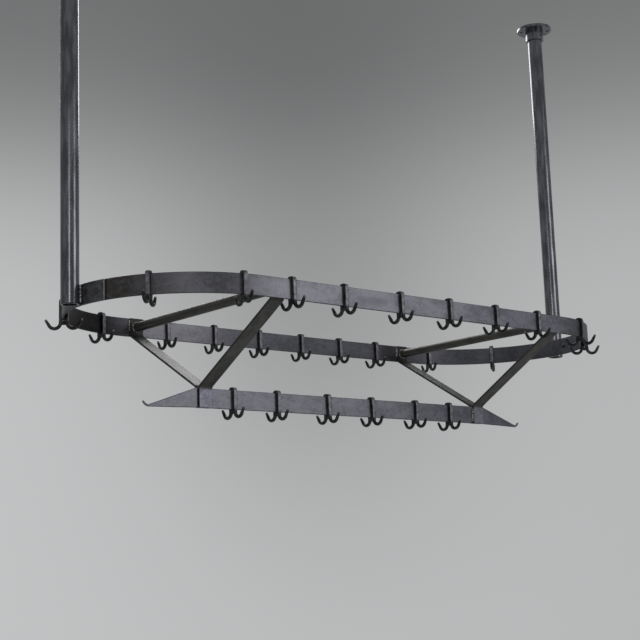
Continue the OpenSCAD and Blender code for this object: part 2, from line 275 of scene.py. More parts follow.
def mirrored(solid, axis):
    """A solid mirrored across the plane where the given axis is zero."""
    return outward(solid[0] * (1 - 2 * np.eye(3)[axis]), *solid[1:])


def on_side(solid, flip):
    """The right end's solid, or its mirror image for the left end."""
    return solid if flip > 0 else mirrored(solid, 0)


def lathe(outline, centre, axis, count):
    """Rings of a turned solid: (radius, height) pairs carried round an axis."""
    first = unit(np.cross(axis, X_AXIS if abs(axis[0]) < 0.9 else Y_AXIS))
    spokes = circle(full_circle(count)) @ np.stack([first, np.cross(axis, first)])
    return centre + outline[:, 0, None, None] * spokes + outline[:, 1, None, None] * axis


def bead(path, radius, pitch, seed):
    """A weld bead: a round profile whose radius swells and dips once in each pitch."""
    along = travelled(path)
    rng = np.random.default_rng(seed)
    swell = np.abs(np.sin(math.pi * along / pitch + rng.uniform(0, 3))) ** 0.6
    size = radius * (0.78 + 0.2 * swell) * (1 - 0.06 * rng.uniform(0, 1, len(along)))
    left = np.clip(np.minimum(along, along[-1] - along) / radius, 0.02, 1)
    size = size * np.sqrt(1 - (1 - left) ** 2)
    return skin(sweep(path, X_AXIS, Y_AXIS, round_profile(size, 14)))


def filleted(points, radius):
    """Places and headings of a path whose inner corners are rounded to a radius."""
    ways = unit(np.diff(points, axis=0))
    places, headings = [points[:1]], [ways[:1]]
    for corner, way, following in zip(points[1:], ways, ways[1:]):
        turn = math.acos(way @ following)
        angle = np.linspace(0, turn, 9)[:, None]
        inward = unit(following - way * (way @ following))
        start = corner - way * radius * math.tan(turn / 2)
        places.append(start + radius * (np.sin(angle) * way + (1 - np.cos(angle)) * inward))
        headings.append(np.cos(angle) * way + np.sin(angle) * inward)
    return np.concatenate([*places, points[-1:]]), np.concatenate([*headings, ways[-1:]])


# -------- pieces in the scene

def sizes():
    """The sizes that a user may change."""
    return bpy.context.scene.rack_sizes


def added(name, data):
    """A new object in the scene, for a mesh, a lamp or a camera."""
    thing = bpy.data.objects.new(name, data)
    bpy.context.scene.collection.objects.link(thing)
    return thing


def new_mesh(name, points, *faces):
    """A mesh of points and one or more arrays of faces."""
    mesh = bpy.data.meshes.new(name)
    mesh.from_pydata(points.tolist(), [], sum((part.tolist() for part in faces), []))
    mesh.update()
    return mesh


def piece(name, solid, material, slot, *nodes, body="frame", edges=None):
    """Puts a solid into the scene, rides it on its body and hides the nodes it stands for."""
    mesh = new_mesh(name, *solid)
    mesh.shade_smooth()
    mesh.materials.append(material)
    if edges is not None:
        mesh.attributes.new("rim", "FLOAT", "POINT").data.foreach_set("value", edges.astype(np.float32))
    thing = added(name, mesh)
    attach(thing, body)
    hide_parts(*nodes)


def fused(solid, voxel, smoothing):
    """One skin over solids that run into each other: remeshed in four-sided cells, then smoothed."""
    mesh = new_mesh("raw", *solid)
    raw = added("raw", mesh)
    cells = raw.modifiers.new("cells", "REMESH")
    cells.mode, cells.voxel_size = "VOXEL", voxel
    smooth = raw.modifiers.new("smooth", "SMOOTH")
    smooth.factor, smooth.iterations = 0.5, smoothing
    whole = raw.evaluated_get(bpy.context.evaluated_depsgraph_get()).to_mesh()
    places = np.empty((len(whole.vertices), 3), np.float32)
    whole.vertices.foreach_get("co", places.ravel())
    quads = np.empty((len(whole.polygons), 4), np.int32)
    whole.loops.foreach_get("vertex_index", quads.ravel())
    bpy.data.objects.remove(raw)
    bpy.data.meshes.remove(mesh)
    return outward(places.astype(float), quads, NO_FANS)


def half_ring():
    """The front half of the ring: a flat bar swept along a quarter circle from the left end's
    middle, the straight side and a quarter circle to the right end's middle.
    """
    quarter = BAND_MIDDLE * math.pi / 2
    along = stations(2 * quarter + 2 * END_X, sizes().edge, 6 * MM)
    left_turn = np.clip(along / BAND_MIDDLE, 0, math.pi / 2)
    run = np.clip(along - quarter, 0, 2 * END_X)
    right_turn = np.clip((along - quarter - 2 * END_X) / BAND_MIDDLE, 0, math.pi / 2)
    facing = at(np.sin(right_turn) - np.cos(left_turn), 1 - np.cos(right_turn) - np.sin(left_turn), 0)
    path = BAND_MIDDLE * facing + at(run - END_X, 0, RING_HEIGHT)
    return flat_bar(path, facing, Z_AXIS, along, (BAND_THICKNESS, BAND_WIDTH), (12, 3), 1)


def end_plate():
    """The right end's plate: a flat bar swept over an arc on the band's outer face."""
    middle, thickness = (PLATE_RADIUS + RING_RADIUS) / 2, PLATE_RADIUS - RING_RADIUS
    along = stations(2 * PLATE_HALF_ANGLE * middle, sizes().edge, 3 * MM)
    angle = along / middle - PLATE_HALF_ANGLE
    facing = at(np.cos(angle), np.sin(angle), 0)
    path = middle * facing + np.array([END_X, 0, RING_HEIGHT])
    return flat_bar(path, facing, Z_AXIS, along, (thickness, BAND_WIDTH), (14, 2), 1)


def rivet_heads(flip):
    """Both rivets of an end: a dome y = h * (1 - (r/R)^2.4) at each side of plate and band."""
    look = sizes()
    radius, height, spread = look.rivet_width / 2, look.rivet_height, math.radians(look.rivet_angle)
    r = radius * np.sin(np.linspace(0.08, math.pi / 2, 9))
    dome = at(r, height * (1 - (r / radius) ** 2.4))
    dome = np.concatenate([dome, [[radius * 0.99, -0.3 * MM], [radius * 0.3, -0.3 * MM]]])
    solids = []
    for k, angle in enumerate((-spread, spread)):
        out = np.array([flip * math.cos(angle), math.sin(angle), 0])
        centre = np.array([flip * END_X, 0, RING_HEIGHT])
        for j, (place, way) in enumerate(((PLATE_RADIUS, 1), (BAND_INNER - 0.1 * MM, -1))):
            head = lathe(dome, centre + place * out, way * out, 28)
            flat = 0.35 * MM * np.clip(wave_field(head, 9 * MM, 7 * k + j + (flip > 0) * 50), 0, 1)
            solids.append(skin(head - way * out * flat[..., None]))
    return joined(*solids)


def hanging_tube():
    """The right tube: a wall swept round the axis, open at the foot, its rims eased."""
    inner, ease = TUBE_RADIUS - sizes().tube_wall, 0.8 * MM
    heights = np.concatenate([TUBE_BOTTOM + ease * np.array([1.0, 4, 12]),
                              np.linspace(TUBE_BOTTOM + 20 * MM, TUBE_TOP - ease, 60)])
    turn = np.linspace(0, math.pi / 2, 4)
    foot = at(TUBE_RADIUS - ease + ease * np.sin(turn), TUBE_BOTTOM + ease - ease * np.cos(turn))
    outer = at(TUBE_RADIUS, heights[1:])
    top = [[TUBE_RADIUS - ease, TUBE_TOP], [inner + ease, TUBE_TOP]]
    bore = at(inner, heights[::-1])
    lip = [[inner + ease * 0.3, TUBE_BOTTOM + ease * 0.3], [inner + ease, TUBE_BOTTOM]]
    wall = lathe(np.concatenate([foot, outer, top, bore, lip]), np.array([TUBE_X, 0, 0]), Z_AXIS, 72)
    return loop_skin(worn(wall.transpose(1, 0, 2), 0.12 * MM, 60 * MM, 3, closed=True))


def tube_beads(node, seed):
    """Rippled beads down both corners between a tube and its plate."""
    low, high = corners(node)
    z = np.linspace(low[2], high[2], 70)
    radius, pitch = 4.4 * MM, 9 * MM
    solids = []
    for k, way in enumerate((-1, 1)):
        y = way * (high[1] - 4.5 * MM) + 0.4 * MM * np.sin(z * 900 + seed + k)
        solids.append(bead(at((low[0] + high[0]) / 2, y, z), radius, pitch, seed + k))
    return joined(*solids)


def cross_rod():
    """The right rod: a round bar with faint flats, its ends eased inside the welds."""
    ease = MM
    along = stations(2 * ROD_HALF_LENGTH, ease, 8 * MM)
    path = at(FRAME_X, along - ROD_HALF_LENGTH, ROD_HEIGHT)
    profile = eased(round_profile(np.full(len(along), ROD_RADIUS), 48), along, ease)
    return skin(worn(sweep(path, X_AXIS, Z_AXIS, profile), 0.25 * MM, 70 * MM, 21))


def front_brace():
    """The right front brace: a flat bar down the band, across to the lower bar and down its face."""
    half, bend = BRACE_THICKNESS / 2, sizes().bend_radius
    lap_end = ROD_HEIGHT - ROD_RADIUS - LAP_REACH - 0.65 * bend
    y = np.repeat([half - BAND_INNER, -BRACE_GAP - half], 2)
    z = np.array([RING_TOP, lap_end, BAR_TOP + 3 * MM, BAR_BOTTOM])
    path, heading = filleted(at(FRAME_X, y, z), bend)
    along = travelled(path)
    fine = stations(along[-1], sizes().edge, 5 * MM)
    up = np.cross(unit(resampled(heading, along, fine)), X_AXIS)
    path = resampled(path, along, fine)
    return flat_bar(path, X_AXIS, up, fine, (BRACE_WIDTH, BRACE_THICKNESS), (3, 12), 0)


def frame_beads(seed, low_radius):
    """The right V frame's welds: beads beside each lap and a ring round each end of the rod."""
    sunk = 0.4 * MM
    laps = ((BAND_INNER - sunk, ROD_HEIGHT - ROD_RADIUS, RING_TOP - 4 * MM, 4.0 * MM),
            (BRACE_GAP + sunk, BAR_BOTTOM + 3 * MM, BAR_TOP - 6 * MM, low_radius))
    solids = []
    for k, way in enumerate((-1, 1)):
        for j, edge in enumerate((-1, 1)):
            for i, (y, low, high, radius) in enumerate(laps):
                z = np.linspace(low, high, 50)
                drift = 0.25 * MM * np.sin(z * 700 + 3 * k + j)
                x = FRAME_X + edge * (BRACE_WIDTH / 2 + sunk + drift)
                solids.append(bead(at(x, way * y, z), radius, 6 * MM, seed + 8 * k + 4 * j + i))
        turn = full_circle(96)
        spoke = at(np.cos(turn), 0, np.sin(turn))
        size = 3.2 * MM * (0.8 + 0.2 * np.abs(np.sin(8 * turn + k)) ** 0.6)
        path = np.array([FRAME_X, way * ROD_HALF_LENGTH, ROD_HEIGHT]) + (ROD_RADIUS + 0.2 * MM) * spoke
        solids.append(loop_skin(sweep(path, spoke, Y_AXIS, round_profile(size, 14))))
    return joined(*solids)


def lower_bar():
    """The lower bar: its height falls along a dipping taper to a tip turned up on an arc."""
    look = sizes()
    full = FRAME_X + BRACE_WIDTH / 2 + 5 * MM
    radius, tip_turn, tip_size = look.tip_radius, math.radians(look.tip_turn), look.tip_size
    arc_x = bar_high[0] - tip_size / 2 - radius * math.sin(tip_turn)
    half = np.concatenate([np.linspace(0, full, 100), np.linspace(full, arc_x, 40)[1:]])
    arc = radius * np.linspace(0, tip_turn, 14)[1:]
    cap = arc_x + arc[-1] + tip_size / 2 * np.sin(np.linspace(0, math.pi / 2, 7)[1:] * 0.98)
    along = np.concatenate([half, arc_x + arc, cap])
    along = np.concatenate([-along[:0:-1], along])
    side, distance = np.sign(along), np.abs(along)
    share = np.clip((distance - full) / (arc_x - full), 0, 1)
    turn = np.clip((distance - arc_x) / radius, 0, tip_turn)
    beyond = np.clip(distance - arc_x - radius * tip_turn, 0, None)
    height = np.where(turn > 0, tip_size + MM * np.exp(-turn * 8),
                      BAR_WIDTH + share * (tip_size + MM - BAR_WIDTH))
    x = side * (np.minimum(distance, arc_x) + radius * np.sin(turn) + beyond * math.cos(tip_turn))
    z = BAR_BOTTOM - TIP_DIP * share + beyond * math.sin(tip_turn)
    z += np.where(turn > 0, radius + tip_size / 2 - radius * np.cos(turn), height / 2)
    close = np.sqrt(np.clip(1 - (beyond / (tip_size / 2)) ** 2, 0.02, 1))
    width = BAR_THICKNESS - (BAR_THICKNESS - tip_size) * turn / tip_turn
    profile = rounded(width * close, height * close, look.edge + 0.8 * MM * share, 12, 3)
    up = at(-side * np.sin(turn), 0, np.cos(turn))
    return sweep(at(x, 0, z), Y_AXIS, up, profile), rim(profile, 1)


def hook_half():
    """Half a double hook, from the crown's middle to one tip, in the hook's own axes.

    The middle line goes over the bar, down its face and out into the bowl. The profile is a flat
    strap on the bar and draws down to a round, tapering prong.
    """
    look = sizes()
    crown, strap, leg = look.hook_crown, look.hook_width, look.hook_leg
    reach, bowl, prong, point = look.prong_reach, look.bowl_radius, look.prong_width, look.prong_point
    face, bottom = BAND_THICKNESS / 2 + HOOK_GAP + leg / 2, -BAND_WIDTH
    bowl_from, bowl_to = math.radians(-76), math.radians(60)
    turn = np.linspace(bowl_from, bowl_to, 30)
    centre = np.array([reach, bottom - look.prong_depth + bowl])
    bowl_line = centre + bowl * at(np.sin(turn), -np.cos(turn))
    straight = bowl_line[-1] + np.linspace(0, look.prong_tip, 10)[1:, None] * circle(bowl_to)
    top = np.array([[0, crown / 2 + 0.2 * MM], [face - 4 * MM, crown / 2 + 0.1 * MM],
                    [face - 1.6 * MM, crown / 2 - 1.2 * MM], [face - 0.4 * MM, 0], [face, -3 * MM]])
    legs = at(face, np.linspace(-8 * MM, bottom, 14))
    line = np.concatenate([top, legs, bowl_line, straight])
    steps = travelled(line)
    last_points = np.cumsum([len(top), len(legs), 1, len(bowl_line) - 1]) - 1
    crown_end, leg_end, bowl_start, bowl_end = steps[last_points]
    s = np.linspace(0, steps[-1], 150)
    path = resampled(line, steps, s)
    blur = np.exp(-np.linspace(-2, 2, 9) ** 2)
    longer = np.concatenate([2 * path[:1] - path[4:0:-1], path, 2 * path[-1:] - path[-2:-6:-1]])
    path = at(*(np.convolve(column, blur / blur.sum(), "valid") for column in longer.T))
    key = [0, crown_end, leg_end - 22 * MM, leg_end, bowl_start + 4 * MM, bowl_end, s[-1]]
    width = np.interp(s, key, [strap, strap, strap, strap * 0.86, prong, prong * 0.96, point])
    thick = np.interp(s, key, [crown * 0.93, leg, leg, leg * 1.06, prong * 0.98, prong * 0.96, point])
    power = np.interp(s, key, [7, 7, 7, 5, 2.4, 2.2, 2.1])
    left = np.clip((s[-1] - s) / (2.3 * MM), 0.03, 1)
    close = np.sqrt(1 - (1 - left) ** 2)
    heading = unit(np.gradient(path, axis=0))
    place = at(0, path[:, 0], path[:, 1])
    across = at(0, -heading[:, 1], heading[:, 0])
    return sweep(place, X_AXIS, across, superellipse(width * close, thick * close, power, 40))


def double_hook():
    """A double hook: two halves and the lump that joins them, under one skin."""
    half = skin(hook_half())
    z = np.linspace(-BAND_WIDTH - 1.2 * MM, -BAND_WIDTH - 11 * MM, 9)
    swell = np.sqrt(1 - np.linspace(-0.8, 0.9, 9) ** 2)
    profile = superellipse(9.5 * MM * swell, 14 * MM * swell, np.full(9, 3.0), 24)
    lump = skin(sweep(at(0, 0, z), X_AXIS, Y_AXIS, profile))
    return fused(joined(half, mirrored(half, 1), lump), 0.85 * MM, 4)


def placed_hook(solid, node, seed):
    """A hook worn, tilted a little along its bar, turned and moved to its node's place."""
    low, high = corners(node)
    x, y = (low[:2] + high[:2]) / 2
    turn = math.atan2(y, x - math.copysign(END_X, x)) + math.pi / 2 if "end_hook" in node else 0.0
    rng = np.random.default_rng(seed)
    points = solid[0].copy()
    below = np.clip(-points[:, 2] - BAND_WIDTH, 0, None)
    squeeze, lean = rng.uniform(-0.03, 0.0), rng.uniform(-0.012, 0.012)
    points[:, 1] += below * (np.sign(points[:, 1]) * squeeze + lean)
    points += 0.10 * MM * at(*(wave_field(points, 14 * MM, seed + k) for k in range(3)))
    tilt = math.radians(sizes().hook_tilt) * rng.uniform(-1, 1)
    for angle, axis in ((tilt, "Y"), (turn, "Z")):
        points = points @ np.array(Matrix.Rotation(angle, 3, axis)).T
    return points + np.array([x, y, high[2] - sizes().hook_crown]), *solid[1:]


# -------- finishes

class Value:
    """A node's socket in an expression: + - * / ** and abs() add Math nodes."""

    def __init__(self, recipe, socket):
        self.recipe, self.socket = recipe, socket

    def math(self, operation, *others):
        return self.recipe.node("Math", {"operation": operation}, dict(enumerate((self, *others))))

    __add__ = __radd__ = partialmethod(math, "ADD")
    __mul__ = __rmul__ = partialmethod(math, "MULTIPLY")
    __sub__, __truediv__ = partialmethod(math, "SUBTRACT"), partialmethod(math, "DIVIDE")
    __pow__, __abs__ = partialmethod(math, "POWER"), partialmethod(math, "ABSOLUTE")

    def __rsub__(self, other):
        return self * -1.0 + other


class Recipe:
    """Builds one node tree. node() makes any shader node: its settings first, then values or links."""

    def __init__(self, tree):
        self.tree = tree
        tree.nodes.clear()

    def node(self, kind, settings=None, inputs=None, output=0):
        made = self.tree.nodes.new("ShaderNode" + kind)
        for key, value in (settings or {}).items():
            setattr(made, key, value)
        for key, value in (inputs or {}).items():
            if isinstance(value, Value):
                self.tree.links.new(value.socket, made.inputs[key])
            else:
                made.inputs[key].default_value = value
        return Value(self, made.outputs[output]) if made.outputs else None

    def place(self, stretch=(1.0, 1.0, 1.0)):
        """Object coordinates, stretched along the axes."""
        point = self.node("TexCoord", output="Object")
        return self.node("Mapping", {"vector_type": "TEXTURE"}, {"Vector": point, "Scale": stretch})

    def noise(self, size, detail=4.0, rough=0.55, stretch=(1.0, 1.0, 1.0), warp=0.0):
        """Noise from 0 to 1 whose features are about size metres."""
        return self.node("TexNoise", {}, {
            "Vector": self.place(stretch), "Scale": 1.0 / size,
            "Detail": detail, "Roughness": rough, "Distortion": warp})

    def step(self, value, start, end):
        """0 on the start's side of a range, 1 on the end's side and smooth between."""
        return self.node("MapRange", {"interpolation_type": "SMOOTHSTEP"},
                         {"Value": value, "From Min": start, "From Max": end})

    def mix(self, kind, mask, first, second, blend="MIX"):
        """The first value where the mask is 0 and the second where it is 1."""
        slot, output = {"FLOAT": (2, 0), "RGBA": (6, 2)}[kind]
        return self.node("Mix", {"data_type": kind, "blend_type": blend},
                         {0: mask, slot: first, slot + 1: second}, output)

    def blend(self, mask, first, second):
        """The first colour where the mask is 0 and the second where it is 1."""
        first, second = (c if isinstance(c, Value) else (*c, 1.0) for c in (first, second))
        return self.mix("RGBA", mask, first, second)

    def layer(self, under, over, value, start, end, amount=1.0):
        """One colour laid over another where a value passes a range."""
        return self.blend(self.step(value, start, end) * amount, under, over)

    def rim(self):
        """How near a point is to a flat bar's edge, from 0 to 1."""
        return self.node("Attribute", {"attribute_name": "rim"}, output="Fac")

    def axis(self, name):
        """One axis of the object coordinates."""
        point = self.node("TexCoord", output="Object")
        return self.node("SeparateXYZ", {}, {0: point}, name)


def finish(name, build):
    """A material. build(r, c) gives its facts: in every finish r is the recipe and c the user's colours."""
    material = bpy.data.materials.new(name)
    material.use_nodes = True
    r = Recipe(material.node_tree)
    facts = build(r, bpy.context.scene.rack_colours)
    bump = r.node("Bump", {}, {
        "Strength": facts["strength"], "Distance": facts["relief"], "Height": facts["height"]})
    shader = r.node("BsdfPrincipled", {}, {
        "Base Color": facts["colour"], "Roughness": facts["roughness"],
        "Metallic": facts["metallic"], "Normal": bump})
    r.node("OutputMaterial", {}, {"Surface": shader})
    return material


WHITE = (1.0, 1.0, 1.0)


def tinted(colour, factor):
    """A colour made lighter or darker."""
    return tuple(c * factor for c in colour)


def mill_blotches(r):
    """The blotches of mill scale, about a centimetre wide."""
    return r.noise(0.011, 5.0, 0.65, (1.4, 1.4, 1.0), 0.9)


def painted_shade_and_rust(r, c, colour):
    """Paints shade into the ring's colour: its inner face and both faces of its bends are darker,
    and its outer face is darker towards the right.

    The inner face is found by its distance from the ring's middle line, and the ends by x. A patch
    beside the left V frame, a painted sheen, and most of the right bend stay lighter on the inner
    face, which is painted darker beside the right V frame's lap. A painted shadow lies beside each
    plate's end; a rust patch sits on the front left bend.
    """
    x, y = r.axis("X"), r.axis("Y")
    past = (abs(x) - END_X).math("MAXIMUM", 0.0)
    distance = (past ** 2.0 + y ** 2.0) ** 0.5
    # painted shade: the inner face and the bends are painted darker, the left inner bend darkest, and the
    # outer straight face darker towards the right
    inner = r.step(distance, BAND_INNER + 2 * MM, BAND_INNER + MM)
    bent = r.step(abs(x), END_X - 0.06, END_X + 0.08)
    far_bent = r.step(abs(x), END_X + 0.10, END_X + 0.27)
    right = r.step(x, 0.0, 0.4)
    inner_bend = r.blend(right, (0.15, 0.145, 0.14), (0.42, 0.42, 0.43))
    outer_bend = r.blend(far_bent, (0.58, 0.57, 0.57), (0.45, 0.44, 0.43))
    outer = r.blend(right, WHITE, (0.74, 0.75, 0.78))
    # painted shade: the inner face is darker beside the right V frame's lap
    lap_shade = r.step(abs(x - 0.44), 0.05, 0.015)
    dull = r.blend(lap_shade, (0.50, 0.50, 0.51), (0.26, 0.25, 0.24))
    # painted sheen: a lighter patch on the inner face beside the left V frame
    painted_sheen = r.step(x, -0.16, -0.30) * r.step(x, -0.52, -0.46)
    straight = r.blend(inner, outer, r.blend(painted_sheen, dull, (0.98, 0.96, 0.95)))
    bend = r.blend(inner, outer_bend, inner_bend)
    colour = r.mix("RGBA", 1.0, colour, r.blend(bent, straight, bend), "MULTIPLY")
    rust = r.step(abs(x + END_X + 0.288), 0.026, 0.012) * r.step(y, 0.0, -0.1)
    rust = rust * r.step(r.noise(0.012, 4.0, 0.6), 0.38, 0.56)
    colour = r.blend(rust * 0.7, colour, c.rust)
    # painted shadow on the outer face beside each plate's end
    shadow = r.step(abs(y), PLATE_END - MM, PLATE_END)
    shadow = shadow * r.step(abs(y), PLATE_END + 8 * MM, PLATE_END + 3 * MM)
    shadow = shadow * r.step(abs(x), END_X + 0.2, END_X + 0.25)
    return r.blend(shadow * (1.0 - inner) * 0.8, colour, c.edge)


def scale_iron(r, c, tone, bent=False):
    """Waxed mill scale: clouds, lilac blotches, specks, fine scratches, dark rims with light nicks that are
    also painted glints. The ring's bends and faces get painted shade and sheen; the lower bar is painted
    darker towards the right as painted shade.
    """
    clouds = r.noise(0.040, 5.0, 0.62, (2.2, 2.2, 1.0), 0.4)
    blotches = mill_blotches(r)
    specks = r.noise(0.0024, 3.0, 0.6)
    scratches = r.noise(0.0016, 2.0, 0.5, (14.0, 14.0, 1.0))
    light, dark = tinted(c.ring_light, tone), tinted(c.ring_dark, tone)
    colour = r.layer(dark, light, clouds * 0.55 + blotches * 0.45, 0.38, 0.62)
    colour = r.layer(colour, tinted(c.ring_lilac, tone), blotches, 0.5, 0.68, 0.7)
    colour = r.layer(colour, tinted(dark, 0.4), specks, 0.58, 0.7, 0.5)
    colour = r.layer(colour, tinted(light, 1.5), scratches, 0.64, 0.72, 0.3)
    if bent:
        colour = painted_shade_and_rust(r, c, colour)
    else:
        # painted shade: the lower bar is painted darker towards the right
        painted_falloff_shade = r.layer(WHITE, (0.66, 0.67, 0.69), r.axis("X"), 0.0, 0.45)
        colour = r.mix("RGBA", 1.0, colour, painted_falloff_shade, "MULTIPLY")
    edge = r.step(r.rim() + (r.noise(0.009) - 0.5) * 0.7, 0.25, 0.9)
    colour = r.blend(edge * 0.85, colour, c.edge)
    # light nicks along the rims: bare metal, and painted glints on the edges
    nicks_and_glints = r.step(r.noise(0.005, 3.0, 0.6), 0.62, 0.7) * r.step(r.rim(), 0.6, 1.0)
    colour = r.blend(nicks_and_glints * 0.7, colour, c.nick)
    return dict(colour=colour, roughness=0.34 + clouds * 0.14 + blotches * 0.14, metallic=0.82 - edge * 0.3,
                height=clouds * 0.5 + blotches * 0.3 + specks * 0.18 + scratches * 0.05,
                relief=0.0009, strength=0.5)


def brown_iron(r, c, flat=True):
    """Oiled black-brown bar: long faint streaks, fine grain, tops beside the welds painted darker from just
    below the ring's lower edge as painted shade, greyer feet.
    """
    streaks = r.noise(0.02, 5.0, 0.6, (1.0, 3.0, 1.0), 0.3)
    grain = r.noise(0.0025, 3.0, 0.6)
    height = r.axis("Z")
    colour = r.layer(c.brace_dark, c.brace_light, streaks, 0.35, 0.68)
    colour = r.layer(colour, (0.012, 0.011, 0.01), grain, 0.6, 0.75, 0.3)
    foot = r.step(height, BAR_TOP + 2 * MM, BAR_TOP - 6 * MM)
    grey = r.layer(c.ring_dark, c.ring_lilac, mill_blotches(r), 0.4, 0.62)
    colour = r.blend(foot, colour, grey)
    if flat:
        # painted shade: the braces are darker from just below the ring's lower edge upwards
        painted_shade_black = (0.018, 0.017, 0.016)
        colour = r.layer(colour, painted_shade_black, height, RING_BOTTOM - 12 * MM, RING_BOTTOM + 8 * MM, 0.75)
        edge = r.step(r.rim() + (streaks - 0.5) * 0.5, 0.3, 0.95)
        colour = r.blend(edge * 0.8, colour, c.edge)
    return dict(colour=colour, roughness=0.36 + streaks * 0.2, metallic=0.35 + foot * 0.45,
                height=streaks * 0.4 + grain * 0.1, relief=0.0005, strength=0.4)


def tube_lacquer(r, c):
    """Satin black lacquer on drawn tube: slow vertical streaks, a fine orange peel, and a dark rim at the
    foot as painted shade.
    """
    streaks = r.noise(0.012, 4.0, 0.55, (1.0, 1.0, 6.0), 0.2)
    peel = r.noise(0.0022, 2.0, 0.5)
    colour = r.layer(c.tube_dark, c.tube_light, streaks, 0.36, 0.66)
    # painted shade: the tube's foot rim is painted dark
    colour = r.layer(colour, c.edge, r.axis("Z"), TUBE_BOTTOM + 2.5 * MM, TUBE_BOTTOM + 0.3 * MM, 0.9)
    return dict(colour=colour, roughness=0.17 + streaks * 0.10, metallic=0.85,
                height=streaks * 0.3 + peel * 0.2, relief=0.0006, strength=0.4)


def hammered_iron(r, c):
    """Plates: dark forged faces with shallow hammer marks, and a painted highlight, a light strip, along
    each end.
    """
    marks = r.node("TexVoronoi", {"feature": "SMOOTH_F1"},
                   {"Vector": r.place(), "Scale": 90.0, "Smoothness": 0.6})
    clouds = r.noise(0.012, 4.0)
    colour = r.layer(c.plate_dark, c.plate_light, clouds, 0.35, 0.68)
    # painted highlight: a light strip along each plate's end
    colour = r.layer(colour, c.nick, abs(r.axis("Y")), PLATE_END - 2.4 * MM, PLATE_END - 1.4 * MM, 0.8)
    return dict(colour=colour, roughness=0.36 + clouds * 0.18, metallic=0.55,
                height=marks * 0.8 + clouds * 0.3, relief=0.0012, strength=0.5)


def rivet_iron(r, c):
    """Rivet heads: hammered smooth, darker than the plate and shinier, with painted shade: black at the
    foot, where a head meets the plate.
    """
    x, y = r.axis("X"), r.axis("Y")
    proud = ((abs(x) - END_X) ** 2.0 + y ** 2.0) ** 0.5 - PLATE_RADIUS
    marks = r.noise(0.004, 3.0, 0.6)
    colour = r.layer(c.plate_dark, c.plate_light, marks, 0.4, 0.6)
    # painted shade: black round the foot of each head
    colour = r.layer(colour, c.hook_dark, proud, 1.4 * MM, 0.4 * MM, 0.9)
    return dict(colour=colour, roughness=0.24 + marks * 0.12, metallic=0.7,
                height=marks, relief=0.0006, strength=0.5)


def hook_iron(r, c):
    """Waxed hooks: black wax that also paints in the shade of the sides and prongs, with painted light on
    the straps' front faces, which are painted the bars' lilac grey.
    """
    marks = r.noise(0.012, 3.0, 0.5)
    grain = r.noise(0.0014, 3.0, 0.6)
    height = r.axis("Z")
    ring, low = (r.step(height, bottom - 4 * MM, bottom + 4 * MM)
                 * r.step(height, top + 6 * MM, top + 2 * MM)
                 for bottom, top in ((RING_BOTTOM, RING_TOP), (BAR_BOTTOM, BAR_TOP)))
    # painted light: the strap faces between each bar's lower and upper edges, away from their sides, are
    # painted grey as if lit; the rest stays black as painted shade
    face = (ring + low) * r.step(r.rim(), 0.75, 0.35) * (0.75 + marks * 0.3)
    black = r.layer(c.hook_dark, c.hook_light, marks, 0.4, 0.7)
    grey = r.layer(c.strap_dark, c.strap_light, marks, 0.3, 0.75)
    return dict(colour=r.blend(face, black, grey), roughness=0.36 + marks * 0.16,
                metallic=0.55 + face * 0.25, height=marks * 0.7 + grain * 0.15, relief=0.0007, strength=0.4)


def weld_metal(r, c):
    """Weld beads: light ripples of bare weld metal and painted glints, but dark at the foot of the left V
    frame.
    """
    ripple = r.noise(0.004, 4.0, 0.6)
    # painted highlight: the upper beads and those of the right V frame get light crests as glints; the left
    # frame's lower beads stay dark
    high = r.step(r.axis("Z"), BAR_TOP + 20 * MM, RING_BOTTOM - 40 * MM)
    painted_glint = high + (1.0 - high) * r.step(r.axis("X"), -0.1, 0.1)
    crest = r.blend(painted_glint, tinted(c.weld_dark, 0.2), c.weld_light)
    colour = r.layer(c.weld_dark, crest, ripple, 0.42, 0.62)
    return dict(colour=colour, roughness=0.24 + ripple * 0.16, metallic=0.85,
                height=ripple, relief=0.0010, strength=0.7)


def screw_steel(r, c):
    """Blackened screws: even dark steel with faint turning marks."""
    rings = r.noise(0.0015, 2.0, 0.5, (1.0, 4.0, 1.0))
    return dict(colour=r.blend(rings, c.screw_dark, c.screw_light),
                roughness=0.32 + rings * 0.12, metallic=0.9, height=rings, relief=0.0002, strength=0.5)


# -------- sizes and colours a user may change

LENGTHS = {
    "edge": ("Radius of the flat bars' edges", 0.0013),
    "rim": ("Width of the dark border along those edges", 0.0026),
    "dent": ("Depth of the flat bars' hollows", 0.00022),
    "bend_radius": ("Radius of a brace's bends", 0.012),
    "tube_wall": ("Wall of the hanging tubes", 0.0055),
    "rivet_width": ("Diameter of a rivet's head", 0.014),
    "rivet_height": ("Height of a rivet's head", 0.003),
    "tip_radius": ("Radius of the lower bar's tips", 0.020),
    "tip_size": ("Thickness of the lower bar's tips", 0.0055),
    "hook_width": ("Width of a hook's strap along the bar", 0.012),
    "hook_leg": ("Thickness of a hook's strap", 0.0082),
    "hook_crown": ("Height of a hook's crown above the bar", 0.0075),
    "prong_reach": ("From the bar's middle to a prong's lowest place", 0.0234),
    "prong_depth": ("Depth of that place below the bar", 0.0198),
    "bowl_radius": ("Radius of a prong's bowl", 0.0153),
    "prong_tip": ("Length of a prong's straight tip", 0.0185),
    "prong_width": ("Thickness of a prong round its bowl", 0.0092),
    "prong_point": ("Thickness of a prong at its tip", 0.0064),
}
DEGREES = {
    "rivet_angle": ("Degrees from an end's middle to a rivet", 12.4),
    "tip_turn": ("Degrees that a tip turns up", 56.0),
    "hook_tilt": ("Most degrees that a hook leans", 1.1),
}
